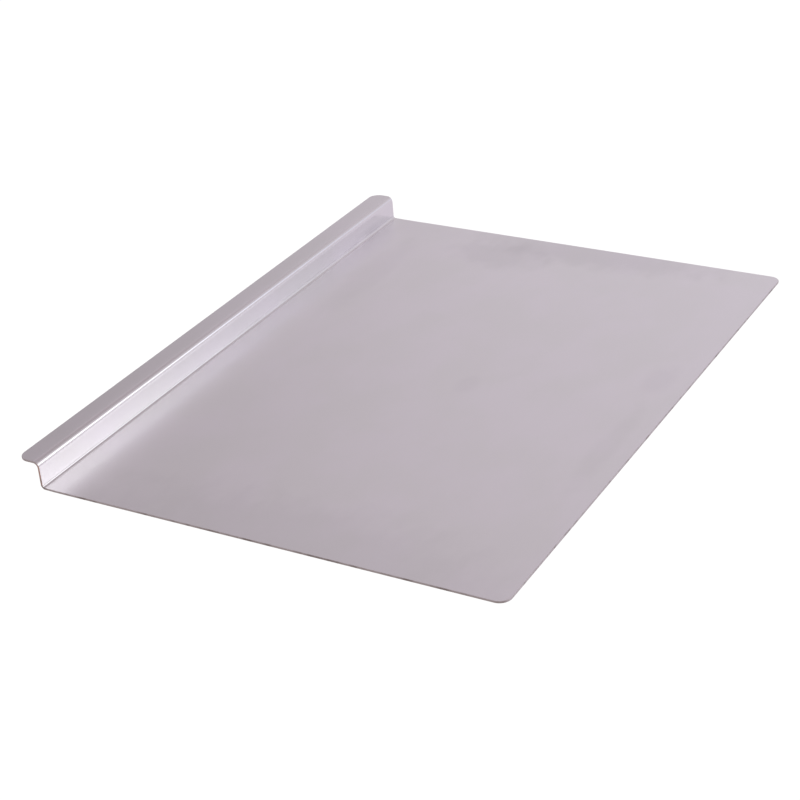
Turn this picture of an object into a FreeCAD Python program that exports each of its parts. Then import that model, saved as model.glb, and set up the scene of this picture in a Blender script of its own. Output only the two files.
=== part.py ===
import FreeCAD, Part
import math
import os

# A single-lip cookie sheet: one blank of bare aluminium sheet with four rounded corners,
# folded twice along its back edge into an upright riser and a flat gripping lip.
# Millimetres, +Z up. X runs along the lip, and Y from the open front edge back to the lip.
# The origin lies on the table, under the middle of the outline.

# Driving dimensions
overall_width = 406.4          # along the lip, 16 inches
overall_depth = 304.8          # front edge to the lip's free edge, 12 inches
overall_height = 17.5          # table to the top of the lip
sheet_thickness = 1.2
lip_width = 15.4               # front face of the riser to the lip's free edge
foot_bend_radius = 1.5         # inside radius where the flat turns up into the riser
lip_bend_radius = 2.8          # inside radius where the riser turns back into the lip
front_corner_radius = 7.0      # in plan, at the two corners of the front edge
lip_corner_radius = 7.0        # in plan, at the two corners of the lip
edge_break = 0.25              # round left on every cut edge by deburring

# Angle between neighbouring faces above which their shared edge counts as a cut edge
sharp_edge_angle = math.radians(30)

# Planes that the fold and the outline sit on
left_end = -overall_width / 2
front_edge = -overall_depth / 2
lip_edge = overall_depth / 2
riser_front = lip_edge - lip_width
riser_back = riser_front + sheet_thickness
lip_underside = overall_height - sheet_thickness


def section_point(y, z):
    """A point of the fold's cross-section, drawn at the left end of the sheet."""
    return FreeCAD.Vector(left_end, y, z)


def folded_line(corners, bend_radii):
    """Straight runs through the corners, joined by a tangent arc at each inner corner."""
    edges = []
    run_start = corners[0]
    for before, corner, after, radius in zip(corners, corners[1:], corners[2:], bend_radii):
        back = (before - corner).normalize()
        onward = (after - corner).normalize()
        half_angle = back.getAngle(onward) / 2
        setback = radius / math.tan(half_angle)
        bulge = radius / math.sin(half_angle) - radius
        arc_start = corner + back * setback
        arc_middle = corner + (back + onward).normalize() * bulge
        arc_end = corner + onward * setback
        edges.append(Part.makeLine(run_start, arc_start))
        edges.append(Part.Arc(arc_start, arc_middle, arc_end).toShape())
        run_start = arc_end
    edges.append(Part.makeLine(run_start, corners[-1]))
    return edges


def fold_section():
    """The Z-shaped cross-section: flat, riser and lip at one thickness all the way."""
    underside_corners = [
        section_point(front_edge, 0),
        section_point(riser_back, 0),
        section_point(riser_back, lip_underside),
        section_point(lip_edge, lip_underside),
    ]
    topside_corners = [
        section_point(front_edge, sheet_thickness),
        section_point(riser_front, sheet_thickness),
        section_point(riser_front, overall_height),
        section_point(lip_edge, overall_height),
    ]
    underside_radii = [foot_bend_radius + sheet_thickness, lip_bend_radius]
    topside_radii = [foot_bend_radius, lip_bend_radius + sheet_thickness]
    outline = folded_line(underside_corners, underside_radii)
    outline += folded_line(topside_corners, topside_radii)
    outline.append(Part.makeLine(underside_corners[0], topside_corners[0]))
    outline.append(Part.makeLine(underside_corners[-1], topside_corners[-1]))
    return Part.Face(Part.Wire(Part.__sortEdges__(outline)))


def corner_edges(sheet, y):
    """The two upright edges at the ends of the cut edge that lies at this Y."""
    tolerance = 1e-6
    found = []
    for edge in sheet.Edges:
        box = edge.BoundBox
        upright = box.XLength < tolerance and box.YLength < tolerance
        if upright and abs(box.Center.y - y) < tolerance:
            found.append(edge)
    return found


def face_normal(face, point):
    """Outward direction of a face at a point on it."""
    u, v = face.Surface.parameter(point)
    return face.normalAt(u, v)


def cut_edges(sheet):
    """The sharp edges, which run round the whole blank on both of its faces."""
    found = []
    for edge in sheet.Edges:
        middle = edge.valueAt((edge.FirstParameter + edge.LastParameter) / 2)
        first, second = sheet.ancestorsOfType(edge, Part.Face)
        turn = face_normal(first, middle).getAngle(face_normal(second, middle))
        if turn > sharp_edge_angle:
            found.append(edge)
    return found


def rounded(sheet, radius, edges):
    """The sheet, still one solid, with these edges rounded to this radius."""
    return sheet.makeFillet(radius, edges).Solids[0]


def cookie_sheet():
    """The folded sheet with its corners rounded and its cut edges broken."""
    sheet = fold_section().extrude(FreeCAD.Vector(overall_width, 0, 0))
    sheet = rounded(sheet, front_corner_radius, corner_edges(sheet, front_edge))
    sheet = rounded(sheet, lip_corner_radius, corner_edges(sheet, lip_edge))
    return rounded(sheet, edge_break, cut_edges(sheet))


os.makedirs("parts", exist_ok=True)
folded_sheet = cookie_sheet()
folded_sheet.exportStep("parts/folded_sheet.step")
print("folded_sheet:", folded_sheet.ShapeType, "valid", folded_sheet.isValid())
print("volume, cubic millimetres:", round(folded_sheet.Volume, 1))
print("box, millimetres:", folded_sheet.optimalBoundingBox(False))
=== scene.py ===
import logging
import math
from abc import ABC, abstractmethod
from dataclasses import dataclass, field
from enum import Enum, IntEnum
from typing import ClassVar

import bmesh
import bpy
from bmesh.types import BMEdge, BMesh, BMFace, BMVert
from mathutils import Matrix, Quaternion, Vector


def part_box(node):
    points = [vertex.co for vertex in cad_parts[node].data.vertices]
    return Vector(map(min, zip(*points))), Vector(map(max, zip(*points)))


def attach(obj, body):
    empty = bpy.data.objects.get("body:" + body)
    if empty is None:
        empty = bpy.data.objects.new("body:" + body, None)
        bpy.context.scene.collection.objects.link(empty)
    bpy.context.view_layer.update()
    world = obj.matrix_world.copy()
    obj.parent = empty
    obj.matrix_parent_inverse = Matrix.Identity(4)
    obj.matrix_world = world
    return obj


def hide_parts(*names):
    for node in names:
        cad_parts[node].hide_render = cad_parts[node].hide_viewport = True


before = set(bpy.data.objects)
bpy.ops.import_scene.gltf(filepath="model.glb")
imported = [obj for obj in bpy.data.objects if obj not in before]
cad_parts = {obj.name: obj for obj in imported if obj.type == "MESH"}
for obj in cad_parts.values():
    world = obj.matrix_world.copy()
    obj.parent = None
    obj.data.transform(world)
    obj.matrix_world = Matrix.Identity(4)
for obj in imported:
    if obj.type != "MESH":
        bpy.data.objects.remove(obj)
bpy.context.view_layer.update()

# A cookie sheet with one lip, folded from bare rolled aluminium, on a plain white floor.
# Metres, +Z up. X runs along the lip, and Y from the open front edge back to the lip.

log = logging.getLogger("cookie_sheet")

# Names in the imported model, and the file that takes the two boxes
CAD_NODE = "folded_sheet"
CAD_BODY = "root"

# Kinds of values
Triple = tuple[float, float, float]
Span = tuple[float, float]
Socket = bpy.types.NodeSocket
Source = float | Triple | Vector | Socket

# One millimetre
MM = 0.001
# Profile of a bevel that is a true arc
CIRCULAR = 0.5
# Middle of a value that runs from 0 to 1
MIDDLE = 0.5
# Ends of a share that grows over its span, and of one that shrinks
RISING: Span = (0.0, 1.0)
FALLING: Span = (1.0, 0.0)
# The shader's share of metal on bare metal
ALL_METAL = 1.0
# Upright reach of a smear that shows at any height
ANY_HEIGHT = 1.0


class Face(IntEnum):
    """Which finish a face of the sheet carries, as its material slot."""

    ROLLED = 0
    SHEARED = 1


class Rounding(Enum):
    """What a bevel rounds: edges, or the corners that a surface has at its vertices."""

    EDGES = "EDGES"
    CORNERS = "VERTICES"


@dataclass(frozen=True)
class SheetSizes:
    """Sizes of the folded sheet, in metres, in the shared frame.

    The sheet runs into the foot bend along a faint curve on both sides, as the press leaves it.
    The curve is given by how far it reaches along the flat and up the riser, how far it takes
    the bend up and forward of the square corner, and how much of each reach is rounded.
    """

    low: Vector
    high: Vector
    thickness: float = 1.2 * MM
    lip_width: float = 15.4 * MM
    foot_bend_radius: float = 1.5 * MM
    lip_bend_radius: float = 2.8 * MM
    corner_radius: float = 7.0 * MM
    edge_break: float = 0.25 * MM
    flat_reach: float = 7.0 * MM
    flat_easing: float = 5.0 * MM
    riser_reach: float = 6.0 * MM
    riser_easing: float = 4.0 * MM
    bend_lift: float = 0.25 * MM
    bend_lead: float = 0.18 * MM

    @property
    def top(self) -> float:
        """Height of the baking surface."""
        return self.low.z + self.thickness

    @property
    def riser_front(self) -> float:
        """Y of the riser's front face."""
        return self.high.y - self.lip_width

    @property
    def lip_bend_outside(self) -> float:
        """Radius of the bend into the lip on the top side."""
        return self.lip_bend_radius + self.thickness

    @property
    def lip_bend_start(self) -> float:
        """Height at which the riser starts to bend into the lip."""
        return self.high.z - self.lip_bend_outside


@dataclass(frozen=True)
class Pattern:
    """Soft random variation, given by the size of its features along X, Y and Z and its detail."""

    size: Triple
    detail: float


@dataclass(frozen=True)
class ShadePatch:
    """A soft patch of painted shade on the metal, with its half-lengths, in metres."""

    middle: Triple
    reach: Triple
    share: float


@dataclass(frozen=True)
class NodeGraph:
    """A node tree, with short ways to add nodes and to give each a constant or a link."""

    tree: bpy.types.NodeTree

    def node(self, kind: str, inputs: dict[str | int, Source], **settings: str) -> bpy.types.Node:
        """Add a node.

        Args:
            kind: The node's type, without the "ShaderNode" that every type starts with.
            inputs: A constant or a socket for each input, by its name or place.
            settings: The node's own properties, set before its inputs.

        Returns:
            The new node.
        """
        made = self.tree.nodes.new("ShaderNode" + kind)
        for name, value in settings.items():
            setattr(made, name, value)
        for key, source in inputs.items():
            self.feed(made.inputs[key], source)
        return made

    def feed(self, target: Socket, source: Source) -> None:
        """Give an input a link where its source is a socket, and a constant otherwise.

        Args:
            target: The input.
            source: What it takes.
        """
        if isinstance(source, Socket):
            self.tree.links.new(source, target)
        elif target.type == "RGBA":
            target.default_value = (*source, 1.0)
        else:
            target.default_value = source

    def place(self) -> Socket:
        """The coordinates on the piece, in its own frame."""
        return self.node("TexCoord", {}).outputs["Object"]

    def math(self, operation: str, *values: Source) -> Socket:
        """Add a math node on one or two values."""
        return self.node("Math", dict(enumerate(values)), operation=operation).outputs[0]

    def vector_math(self, operation: str, *values: Source) -> bpy.types.Node:
        """Add a vector math node on one or two vectors."""
        return self.node("VectorMath", dict(enumerate(values)), operation=operation)

    def vector(self, operation: str, *values: Source) -> Socket:
        """The vector that comes of one or two vectors."""
        return self.vector_math(operation, *values).outputs["Vector"]

    def measure(self, operation: str, *values: Source) -> Socket:
        """The number that comes of one or two vectors."""
        return self.vector_math(operation, *values).outputs["Value"]

    def part(self, vector: Source, axis: str) -> Socket:
        """One coordinate of a vector, named by its axis."""
        return self.node("SeparateXYZ", {0: vector}).outputs[axis]

    def ease(self, value: Source, span: Span, ends: Span = RISING) -> Socket:
        """Take a value smoothly from one end to the other over a span.

        Args:
            value: The value that runs over the span.
            span: Where it leaves the first end and reaches the second.
            ends: What comes out below and above the span.

        Returns:
            The socket of the eased value.
        """
        start, stop = span
        first, last = ends
        inputs = {
            "Value": value,
            "From Min": start,
            "From Max": stop,
            "To Min": first,
            "To Max": last,
        }
        return self.node("MapRange", inputs, interpolation_type="SMOOTHSTEP").outputs["Result"]

    def blend(self, share: Source, first: Source, second: Source) -> Socket:
        """Mix two colours, the second by its share."""
        inputs = {"Factor": share, "A": first, "B": second}
        return self.node("Mix", inputs, data_type="RGBA").outputs["Result"]

    def noise(self, place: Source, pattern: Pattern) -> Socket:
        """Draw a pattern of soft random values round the middle of 0 to 1.

        Args:
            place: The coordinates that it is drawn over.
            pattern: Its size and detail.

        Returns:
            The socket of the value.
        """
        scale = tuple(1 / length for length in pattern.size)
        scaled = self.vector("MULTIPLY", place, scale)
        inputs = {"Vector": scaled, "Scale": 1.0, "Detail": pattern.detail}
        return self.node("TexNoise", inputs).outputs["Fac"]

    def bump(self, height: Source, depth: float, **below: Socket) -> Socket:
        """Raise the surface by a height from 0 to 1 times a depth, over any bump below it."""
        return self.node("Bump", {"Height": height, "Distance": depth, **below}).outputs["Normal"]


class Finish(ABC):
    """A finish made of nodes, which feed one shader."""

    name: ClassVar[str]

    def material(self) -> bpy.types.Material:
        """Make the finish.

        Returns:
            The finish as a node material.
        """
        made = bpy.data.materials.new(self.name)
        made.use_nodes = True
        graph = NodeGraph(made.node_tree)
        shader = made.node_tree.nodes["Principled BSDF"]
        for socket, source in self.surface(graph).items():
            graph.feed(shader.inputs[socket], source)
        return made

    @abstractmethod
    def surface(self, graph: NodeGraph) -> dict[str, Source]:
        """Add the nodes of the finish.

        Args:
            graph: The finish's nodes.

        Returns:
            What the shader takes, by the names of its inputs.
        """


@dataclass(frozen=True)
class RolledAluminium(Finish):
    """Satin rolled aluminium, as on both broad faces of the sheet.

    The rolls leave a fine grain along the lip. The riser is smoother than the flat, and the bend
    into the lip, which is stretched, is smoothest; a painted highlight makes its colour a little
    brighter. Use has dulled the metal in places, and soft patches of painted shade darken it.
    """

    sizes: SheetSizes
    name: ClassVar[str] = "rolled_aluminium"
    colour: Triple = (0.892, 0.862, 0.890)
    dull_colour: Triple = (0.872, 0.851, 0.864)
    # Painted highlight: the brighter colour of the bend into the lip
    painted_highlight: Triple = (0.93, 0.90, 0.93)
    # Painted shade: the darker colour of the patches below
    painted_shade: Triple = (0.45, 0.43, 0.45)
    flat_roughness: float = 0.31
    riser_roughness: float = 0.22
    bend_roughness: float = 0.17
    grain: Pattern = Pattern(size=(40 * MM, 0.8 * MM, 0.8 * MM), detail=2.0)
    grain_span: Span = (0.2, 0.8)
    grain_roughness: float = 0.01
    grain_depth: float = 0.001 * MM
    clouds: Pattern = Pattern(size=(60 * MM, 42 * MM, 42 * MM), detail=4.0)
    cloud_span: Span = (0.35, 0.65)
    waves: Pattern = Pattern(size=(70 * MM, 55 * MM, 55 * MM), detail=1.0)
    wave_depth: float = 0.06 * MM
    unevenness: Pattern = Pattern(size=(16 * MM, 11 * MM, 11 * MM), detail=3.0)
    raggedness: float = 0.7
    shade_span: Span = (0.35, 1.1)
    # Patches of painted shade on the metal
    shade_patches: tuple[ShadePatch, ...] = (
        # Painted shade along both ends of the flat
        ShadePatch((193 * MM, -25 * MM, 0), (24 * MM, 98 * MM, ANY_HEIGHT), share=0.16),
        ShadePatch((171 * MM, 36 * MM, 0), (25 * MM, 42 * MM, ANY_HEIGHT), share=0.13),
        ShadePatch((-200 * MM, -20 * MM, 0), (54 * MM, 160 * MM, ANY_HEIGHT), share=0.11),
        # Painted shade by the front edge
        ShadePatch((42 * MM, -133 * MM, 0), (22 * MM, 12 * MM, ANY_HEIGHT), share=0.07),
        ShadePatch((-45 * MM, -136 * MM, 0), (60 * MM, 9 * MM, ANY_HEIGHT), share=0.06),
        # Painted shade in the middle, and in front of the riser
        ShadePatch((-4 * MM, -29 * MM, 0), (14 * MM, 9 * MM, ANY_HEIGHT), share=0.06),
        ShadePatch((110 * MM, 105 * MM, 0), (75 * MM, 14 * MM, ANY_HEIGHT), share=0.07),
        # Painted shade along the lip
        ShadePatch((0, 147.5 * MM, 17.5 * MM), (400 * MM, 14 * MM, 3 * MM), share=0.08),
        # Painted shade low on the riser, along the crease of the foot bend and at its far end
        ShadePatch((100 * MM, 137.6 * MM, 2.3 * MM), (220 * MM, 1.2 * MM, 2.2 * MM), share=0.22),
        ShadePatch((168 * MM, 137.6 * MM, 5 * MM), (30 * MM, 1.2 * MM, 5 * MM), share=0.25),
    )

    def surface(self, graph: NodeGraph) -> dict[str, Source]:
        """Add the clouded metal, its painted highlight and painted shade, its grain and its faint
        waves.

        Args:
            graph: The finish's nodes.

        Returns:
            What the shader takes, by the names of its inputs.
        """
        place = graph.place()
        grain = graph.noise(place, self.grain)
        clouded = graph.ease(graph.noise(place, self.clouds), self.cloud_span)
        unshaded = graph.blend(clouded, self.colour, self.dull_colour)
        # Painted highlight: the colour is brightened along the bend into the lip
        highlighted = graph.blend(self.highlight_share(graph, place), unshaded, self.painted_highlight)
        spread = graph.ease(grain, self.grain_span, (-self.grain_roughness, self.grain_roughness))
        wavy = graph.bump(graph.noise(place, self.waves), self.wave_depth)
        return {
            # Painted shade darkens the colour in soft patches
            "Base Color": graph.blend(self.shade_share(graph, place), highlighted, self.painted_shade),
            "Metallic": ALL_METAL,
            "Roughness": graph.math("ADD", self.zones(graph, place), spread),
            "Normal": graph.bump(grain, self.grain_depth, Normal=wavy),
        }

    def shade_share(self, graph: NodeGraph, place: Socket) -> Socket:
        """How much painted shade shows: all its patches added up, their outlines made ragged.

        Args:
            graph: The finish's nodes.
            place: The coordinates on the sheet.

        Returns:
            The socket of the share.
        """
        uneven = graph.math("SUBTRACT", graph.noise(place, self.unevenness), MIDDLE)
        ragged = graph.math("MULTIPLY", uneven, self.raggedness)
        total: Source = 0.0
        for patch in self.shade_patches:
            aside = graph.vector("SUBTRACT", place, patch.middle)
            distance = graph.measure("LENGTH", graph.vector("DIVIDE", aside, patch.reach))
            outline = graph.math("ADD", distance, ragged)
            shown = graph.ease(outline, self.shade_span, (patch.share, 0.0))
            total = graph.math("ADD", total, shown)
        return total

    def highlight_share(self, graph: NodeGraph, place: Socket) -> Socket:
        """Share of the painted highlight: 1 halfway up the lip bend, eased to 0 at the riser and
        the lip.

        Args:
            graph: The finish's nodes.
            place: The coordinates on the sheet.

        Returns:
            The socket of the share.
        """
        s = self.sizes
        height = graph.part(place, "Z")
        highlight_middle = s.high.z - s.lip_bend_outside / 2
        onto_lip = s.high.z - s.lip_bend_outside / 4
        rising = graph.ease(height, (s.lip_bend_start, highlight_middle))
        falling = graph.ease(height, (highlight_middle, onto_lip), FALLING)
        return graph.math("MULTIPLY", rising, falling)

    def zones(self, graph: NodeGraph, place: Socket) -> Socket:
        """Roughness by height: satin on the flat and the lip, smoother on the riser and its bend.

        Args:
            graph: The finish's nodes.
            place: The coordinates on the sheet.

        Returns:
            The socket of the roughness.
        """
        s = self.sizes
        height = graph.part(place, "Z")
        foot = (s.top, s.top + s.foot_bend_radius / 4)
        smoothest = s.high.z - s.lip_bend_radius / 2
        bend_change = (0.0, self.bend_roughness - self.riser_roughness)
        lip_change = (0.0, self.flat_roughness - self.bend_roughness)
        below = graph.ease(height, foot, (self.flat_roughness, self.riser_roughness))
        onto_bend = graph.ease(height, (s.lip_bend_start, smoothest), bend_change)
        onto_lip = graph.ease(height, (smoothest, s.high.z), lip_change)
        return graph.math("ADD", below, graph.math("ADD", onto_bend, onto_lip))


@dataclass(frozen=True)
class ShearedEdge(Finish):
    """Dull metal where the blank was cut, with the shear's upright marks, browned on the riser."""

    sizes: SheetSizes
    name: ClassVar[str] = "sheared_edge"
    colour: Triple = (0.68, 0.63, 0.63)
    stain: Triple = (0.42, 0.37, 0.36)
    brown: Triple = (0.78, 0.56, 0.49)
    roughness: Span = (0.38, 0.55)
    marks: Pattern = Pattern(size=(0.35 * MM, 0.35 * MM, 3 * MM), detail=2.0)
    mark_span: Span = (0.25, 0.75)
    mark_depth: float = 0.02 * MM
    stains: Pattern = Pattern(size=(9 * MM, 9 * MM, 9 * MM), detail=3.0)
    stain_span: Span = (0.45, 0.7)

    def surface(self, graph: NodeGraph) -> dict[str, Source]:
        """Add the browned and stained metal and the marks of the shear.

        Args:
            graph: The finish's nodes.

        Returns:
            What the shader takes, by the names of its inputs.
        """
        place = graph.place()
        marks = graph.noise(place, self.marks)
        stained = graph.ease(graph.noise(place, self.stains), self.stain_span)
        browned = graph.blend(self.on_riser(graph, place), self.colour, self.brown)
        return {
            "Base Color": graph.blend(stained, browned, self.stain),
            "Metallic": ALL_METAL,
            "Roughness": graph.ease(marks, self.mark_span, self.roughness),
            "Normal": graph.bump(marks, self.mark_depth),
        }

    def on_riser(self, graph: NodeGraph, place: Socket) -> Socket:
        """1 on the riser's height, eased to 0 over both bends.

        Args:
            graph: The finish's nodes.
            place: The coordinates on the sheet.

        Returns:
            The socket of the share.
        """
        s = self.sizes
        height = graph.part(place, "Z")
        above_foot = graph.ease(height, (s.top, s.top + s.foot_bend_radius))
        below_lip = graph.ease(height, (s.lip_bend_start, s.high.z), FALLING)
        return graph.math("MULTIPLY", above_foot, below_lip)


@dataclass(frozen=True)
class PlainWhite(Finish):
    """The floor's even white: it glows, so that it is white all over, and it has no shine."""

    name: ClassVar[str] = "floor"
    colour: Triple = (0.1, 0.1, 0.1)
    roughness: float = 1.0
    shine: float = 0.0
    glow_colour: Triple = (1.0, 1.0, 1.0)
    glow: float = 1.0

    def surface(self, graph: NodeGraph) -> dict[str, Source]:
        """Add no nodes, as the finish is the same all over.

        Args:
            graph: The finish's nodes; not used.

        Returns:
            What the shader takes, by the names of its inputs.
        """
        return {
            "Base Color": self.colour,
            "Roughness": self.roughness,
            "Specular IOR Level": self.shine,
            "Emission Color": self.glow_colour,
            "Emission Strength": self.glow,
        }


def add_object(name: str, data: bpy.types.ID) -> bpy.types.Object:
    """Put an object into the scene, at the origin.

    Args:
        name: The object's name.
        data: Its mesh, light or camera.

    Returns:
        The object.
    """
    made = bpy.data.objects.new(name, data)
    bpy.context.scene.collection.objects.link(made)
    return made


def add_mesh(name: str, mesh: BMesh) -> bpy.types.Object:
    """Put a finished mesh into the scene, and free what it was modelled in.

    Args:
        name: The object's name.
        mesh: The mesh as it was modelled.

    Returns:
        The object.
    """
    data = bpy.data.meshes.new(name)
    mesh.to_mesh(data)
    mesh.free()
    return add_object(name, data)


@dataclass
class FoldedSheet:
    """The one-piece sheet: a flat, a riser and a lip, folded from a rounded blank."""

    sizes: SheetSizes
    name: str = "cookie_sheet"
    fold_segments: int = 16
    corner_segments: int = 16
    edge_segments: int = 3
    sharp_angle: float = math.radians(60)
    tolerance: float = 1e-6
    broad_face_weight: int = 100
    mesh: BMesh = field(default_factory=bmesh.new)

    def build(self) -> bpy.types.Object:
        """Model the sheet from its front edge to its broken cut edges.

        Returns:
            The finished object, at the origin, with its place in its mesh.
        """
        self.extrude_strip()
        self.round_folds()
        self.round_corners()
        self.give_thickness()
        self.break_edges()
        for face in self.mesh.faces:
            face.smooth = True
        piece = add_mesh(self.name, self.mesh)
        self.even_normals(piece)
        self.dress(piece)
        return piece

    def extrude_strip(self) -> None:
        """Draw the front edge and extrude it back, up and out along the top side."""
        s = self.sizes
        ends = [self.mesh.verts.new((x, s.low.y, s.top)) for x in (s.low.x, s.high.x)]
        edge = self.mesh.edges.new(ends)
        steps = (
            Vector((0, s.riser_front - s.flat_reach - s.low.y, 0)),
            Vector((0, s.flat_reach - s.bend_lead, s.bend_lift)),
            Vector((0, s.bend_lead, s.riser_reach - s.bend_lift)),
            Vector((0, 0, s.high.z - s.top - s.riser_reach)),
            Vector((0, s.lip_width, 0)),
        )
        for step in steps:
            edge = self.extrude_edge(edge, step)
        bmesh.ops.recalc_face_normals(self.mesh, faces=self.mesh.faces[:])
        flat = min(self.mesh.faces, key=lambda face: face.calc_center_median().z)
        if flat.normal.z < 0:
            bmesh.ops.reverse_faces(self.mesh, faces=self.mesh.faces[:])

    def extrude_edge(self, edge: BMEdge, step: Vector) -> BMEdge:
        """Extrude one edge by a step.

        Args:
            edge: The edge to start from.
            step: How far the new edge lies from it.

        Returns:
            The new edge.
        """
        made = bmesh.ops.extrude_edge_only(self.mesh, edges=[edge])["geom"]
        verts = [item for item in made if isinstance(item, BMVert)]
        bmesh.ops.translate(self.mesh, verts=verts, vec=step)
        return self.mesh.edges.get(verts)

    def bevel(
        self, geom: list[BMEdge] | list[BMVert], kind: Rounding, offset: float, segments: int
    ) -> list[BMFace]:
        """Round edges or corners with true arcs, whose faces keep their neighbours' finish.

        Args:
            geom: The edges, or the vertices at the corners.
            kind: Which of the two they are.
            offset: How far from them the round starts.
            segments: How many faces each round has.

        Returns:
            The faces of the rounds.
        """
        made = bmesh.ops.bevel(
            self.mesh, geom=geom, offset=offset, offset_type="OFFSET", affect=kind.value,
            segments=segments, profile=CIRCULAR, material=-1,
        )
        return made["faces"]

    def round_folds(self) -> None:
        """Bevel the fold lines, from the flat up, to the bends' real radii on the top side."""
        s = self.sizes
        bends = (
            (s.top, s.flat_easing),
            (s.top + s.bend_lift, s.foot_bend_radius),
            (s.top + s.riser_reach, s.riser_easing),
            (s.high.z, s.lip_bend_outside),
        )
        for height, radius in bends:
            fold = [edge for edge in self.mesh.edges if self.is_fold(edge, height)]
            self.bevel(fold, Rounding.EDGES, radius, self.fold_segments)

    def is_fold(self, edge: BMEdge, height: float) -> bool:
        """Whether an edge is the fold line between two faces at this height."""
        level = all(abs(vert.co.z - height) < self.tolerance for vert in edge.verts)
        return level and len(edge.link_faces) == 2

    def round_corners(self) -> None:
        """Bevel the blank's four corners in plan."""
        s = self.sizes
        corners = [
            vert for vert in self.mesh.verts
            if min(vert.co.y - s.low.y, s.high.y - vert.co.y) < self.tolerance
        ]
        self.bevel(corners, Rounding.CORNERS, s.corner_radius, self.corner_segments)

    def give_thickness(self) -> None:
        """Thicken the skin downwards and mark the faces of the cut edge."""
        skin = set(self.mesh.faces)
        made = bmesh.ops.solidify(self.mesh, geom=list(skin), thickness=self.sizes.thickness)
        skin.update(made["geom"])
        for face in self.mesh.faces:
            face.material_index = Face.ROLLED if face in skin else Face.SHEARED
        self.mesh.normal_update()

    def break_edges(self) -> None:
        """Round the sharp edges that run round the blank on both sides, dull as the cut is."""
        sharp = [edge for edge in self.mesh.edges if edge.calc_face_angle() > self.sharp_angle]
        rounds = self.bevel(sharp, Rounding.EDGES, self.sizes.edge_break, self.edge_segments)
        for face in rounds:
            face.material_index = Face.SHEARED

    def even_normals(self, piece: bpy.types.Object) -> None:
        """Let the broad faces rule the shading, so that bends blend into them cleanly.

        Args:
            piece: The sheet's object.
        """
        weighted = piece.modifiers.new("even_normals", "WEIGHTED_NORMAL")
        weighted.mode = "FACE_AREA"
        weighted.weight = self.broad_face_weight

    def dress(self, piece: bpy.types.Object) -> None:
        """Give the sheet its finishes, in the order of their slots.

        Args:
            piece: The sheet's object.
        """
        finishes = {
            Face.ROLLED: RolledAluminium(self.sizes),
            Face.SHEARED: ShearedEdge(self.sizes),
        }
        for face in Face:
            piece.data.materials.append(finishes[face].material())


@dataclass(frozen=True)
class SoftPanel:
    """A soft light panel that faces the sheet and fades out towards its edges.

    Its place and sizes are angles in degrees, as seen from the sheet. Its softness, sideways and
    upright, is half the width of the fading edges.
    """

    name: str
    azimuth: float
    elevation: float
    half_width: float
    half_height: float
    softness: Span
    radiance: Triple
    distance: float = 3.0

    def build(self) -> None:
        """Add the light to the scene, aimed at the sheet's middle."""
        across, upright = self.softness
        data = bpy.data.lights.new(self.name, "AREA")
        data.shape = "RECTANGLE"
        data.size = self.side(self.half_width, across)
        data.size_y = self.side(self.half_height, upright)
        # With this power, the colour is the radiance that the metal mirrors
        data.energy = math.pi * data.size * data.size_y
        data.color = self.radiance
        self.fade_edges(data)
        turn = math.radians(self.azimuth)
        rise = math.radians(self.elevation)
        level = math.cos(rise)
        towards = Vector((level * math.cos(turn), level * math.sin(turn), math.sin(rise)))
        light = add_object(self.name, data)
        light.location = towards * self.distance
        light.rotation_mode = "QUATERNION"
        light.rotation_quaternion = towards.to_track_quat("Z", "Y")

    def reach(self, angle: float) -> float:
        """How far from the panel's middle an angle reaches."""
        return self.distance * math.tan(math.radians(angle))

    def side(self, half_angle: float, softness: float) -> float:
        """The length of a side, with the outer half of its fading edges."""
        return 2 * (self.reach(half_angle) + self.reach(softness))

    def fade_edges(self, data: bpy.types.Light) -> None:
        """Let the panel's glow fade out towards its four edges.

        Args:
            data: The light, its size already set.
        """
        data.use_nodes = True
        graph = NodeGraph(data.node_tree)
        place = graph.node("NewGeometry", {}).outputs["Parametric"]
        glow = []
        for axis, softness, length in zip("XY", self.softness, (data.size, data.size_y)):
            margin = 2 * self.reach(softness) / length
            glow.append(self.fade(graph, graph.part(place, axis), margin))
        emission = data.node_tree.nodes["Emission"]
        graph.feed(emission.inputs["Strength"], graph.math("MULTIPLY", *glow))

    def fade(self, graph: NodeGraph, share: Socket, margin: float) -> Socket:
        """The glow along a side, from 1 in the middle to 0 at both ends, each a margin wide."""
        off_middle = graph.math("ABSOLUTE", graph.math("SUBTRACT", share, MIDDLE))
        return graph.ease(off_middle, (MIDDLE - margin, MIDDLE), FALLING)


# The panels that light the riser and the bend into the lip
PANELS = (
    SoftPanel(
        name="low_panel", azimuth=-48.5, elevation=23.5, half_width=9.0, half_height=7.0,
        softness=(6.0, 3.0), radiance=(1.08, 1.14, 1.12),
    ),
    SoftPanel(
        name="skirt_panel", azimuth=-48.0, elevation=8.5, half_width=4.5, half_height=8.0,
        softness=(4.5, 2.5), radiance=(0.16, 0.18, 0.17),
    ),
    SoftPanel(
        name="high_panel", azimuth=-58.0, elevation=44.0, half_width=10.0, half_height=13.0,
        softness=(6.0, 6.0), radiance=(1.58, 1.66, 1.62),
    ),
    SoftPanel(
        name="cool_panel", azimuth=-36.0, elevation=20.5, half_width=8.0, half_height=6.0,
        softness=(3.5, 3.5), radiance=(0.05, 0.10, 0.17),
    ),
)


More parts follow.
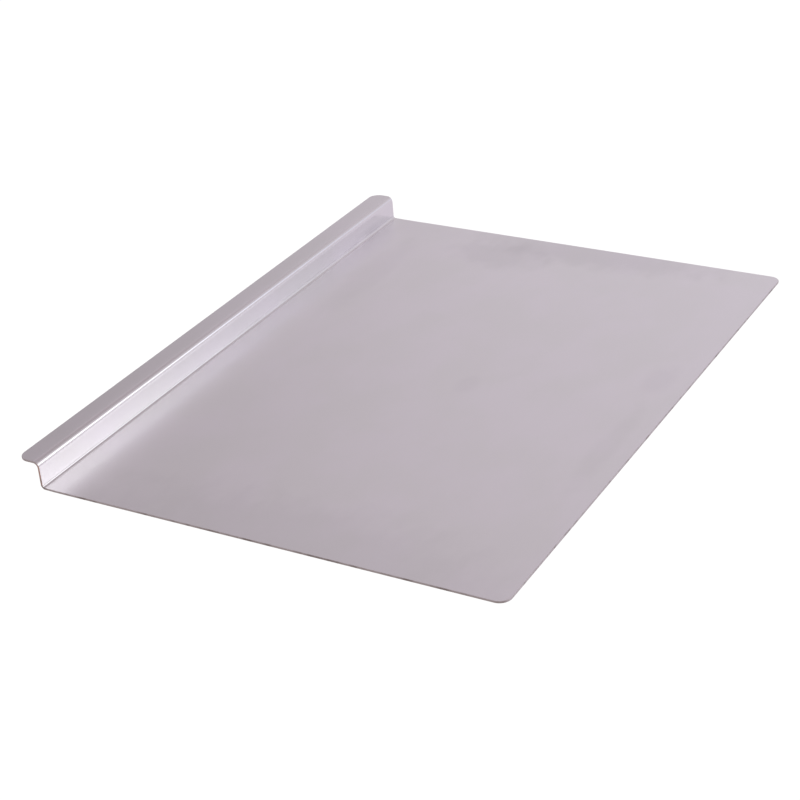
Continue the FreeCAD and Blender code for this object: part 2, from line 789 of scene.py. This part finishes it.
@dataclass(frozen=True)
class Surroundings:
    """What the metal mirrors: a pale room, dim overhead and behind, and the table below.

    The spans run over parts of the direction that is looked in: towards the lit side, along the
    lip or upwards.
    """

    lit: Triple = (0.576, 0.534, 0.566)
    far_end: Triple = (1.103, 1.081, 1.171)
    dim: Triple = (0.02, 0.01, 0.01)
    overhead: Triple = (0.373, 0.327, 0.344)
    table: Triple = (0.70, 0.65, 0.72)
    table_shade: Triple = (0.42, 0.38, 0.37)
    lit_side: Triple = (-0.5, -0.866, 0.0)
    side_span: Span = (-0.93, -0.83)
    far_span: Span = (0.605, 1.404)
    height_span: Span = (0.594, 0.739)
    table_span: Span = (-0.5, 0.3)
    horizon: Span = (-0.01, 0.0)

    def build(self) -> None:
        """Make the world's nodes."""
        world = bpy.data.worlds.new("surroundings")
        world.use_nodes = True
        bpy.context.scene.world = world
        graph = NodeGraph(world.node_tree)
        direction = graph.node("TexCoord", {}).outputs["Generated"]
        height = graph.part(direction, "Z")
        along_lip = graph.part(direction, "X")
        lit_lean = graph.measure("DOT_PRODUCT", direction, self.lit_side)
        lit_share = graph.ease(lit_lean, self.side_span)
        walls = graph.blend(graph.ease(along_lip, self.far_span), self.lit, self.far_end)
        around = graph.blend(lit_share, self.dim, walls)
        room = graph.blend(graph.ease(height, self.height_span), around, self.overhead)
        table = graph.blend(graph.ease(along_lip, self.table_span), self.table_shade, self.table)
        whole = graph.blend(graph.ease(height, self.horizon), table, room)
        graph.feed(world.node_tree.nodes["Background"].inputs["Color"], whole)


@dataclass(frozen=True)
class Floor:
    """The plain white floor that the sheet lies on. The metal mirrors the world's table instead."""

    name: str = "floor"
    half_size: float = 6.0

    def build(self) -> None:
        """Make the floor, which the metal does not mirror."""
        mesh = bmesh.new()
        bmesh.ops.create_grid(mesh, x_segments=1, y_segments=1, size=self.half_size)
        floor = add_mesh(self.name, mesh)
        floor.data.materials.append(PlainWhite().material())
        floor.visible_glossy = False


@dataclass(frozen=True)
class PhotoCamera:
    """The camera at the photograph's viewpoint, in metres and degrees, its lens in millimetres."""

    name: str = "photo_camera"
    place: Triple = (-0.91107, -0.52463, 0.54816)
    aim: Triple = (-0.03496, 0.0006, 0.0)
    roll: float = -4.331
    lens: float = 87.765
    sensor: float = 36.0

    def build(self) -> None:
        """Add the camera and make it the scene's own."""
        data = bpy.data.cameras.new(self.name)
        data.lens = self.lens
        data.sensor_width = self.sensor
        camera = add_object(self.name, data)
        camera.location = self.place
        look = (Vector(self.aim) - Vector(self.place)).to_track_quat("-Z", "Y")
        camera.rotation_mode = "QUATERNION"
        camera.rotation_quaternion = look @ Quaternion((0, 0, 1), math.radians(self.roll))
        bpy.context.scene.camera = camera


def main() -> None:
    """Build the dressed sheet and set it in the studio."""
    logging.basicConfig(level=logging.INFO)
    sheet = FoldedSheet(SheetSizes(*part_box(CAD_NODE))).build()
    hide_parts(CAD_NODE)
    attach(sheet, CAD_BODY)
    log.info("%s: %d faces", sheet.name, len(sheet.data.polygons))
    Floor().build()
    Surroundings().build()
    for panel in PANELS:
        panel.build()
    PhotoCamera().build()
    bpy.context.scene.view_settings.view_transform = "Standard"


if __name__ == "__main__":
    main()
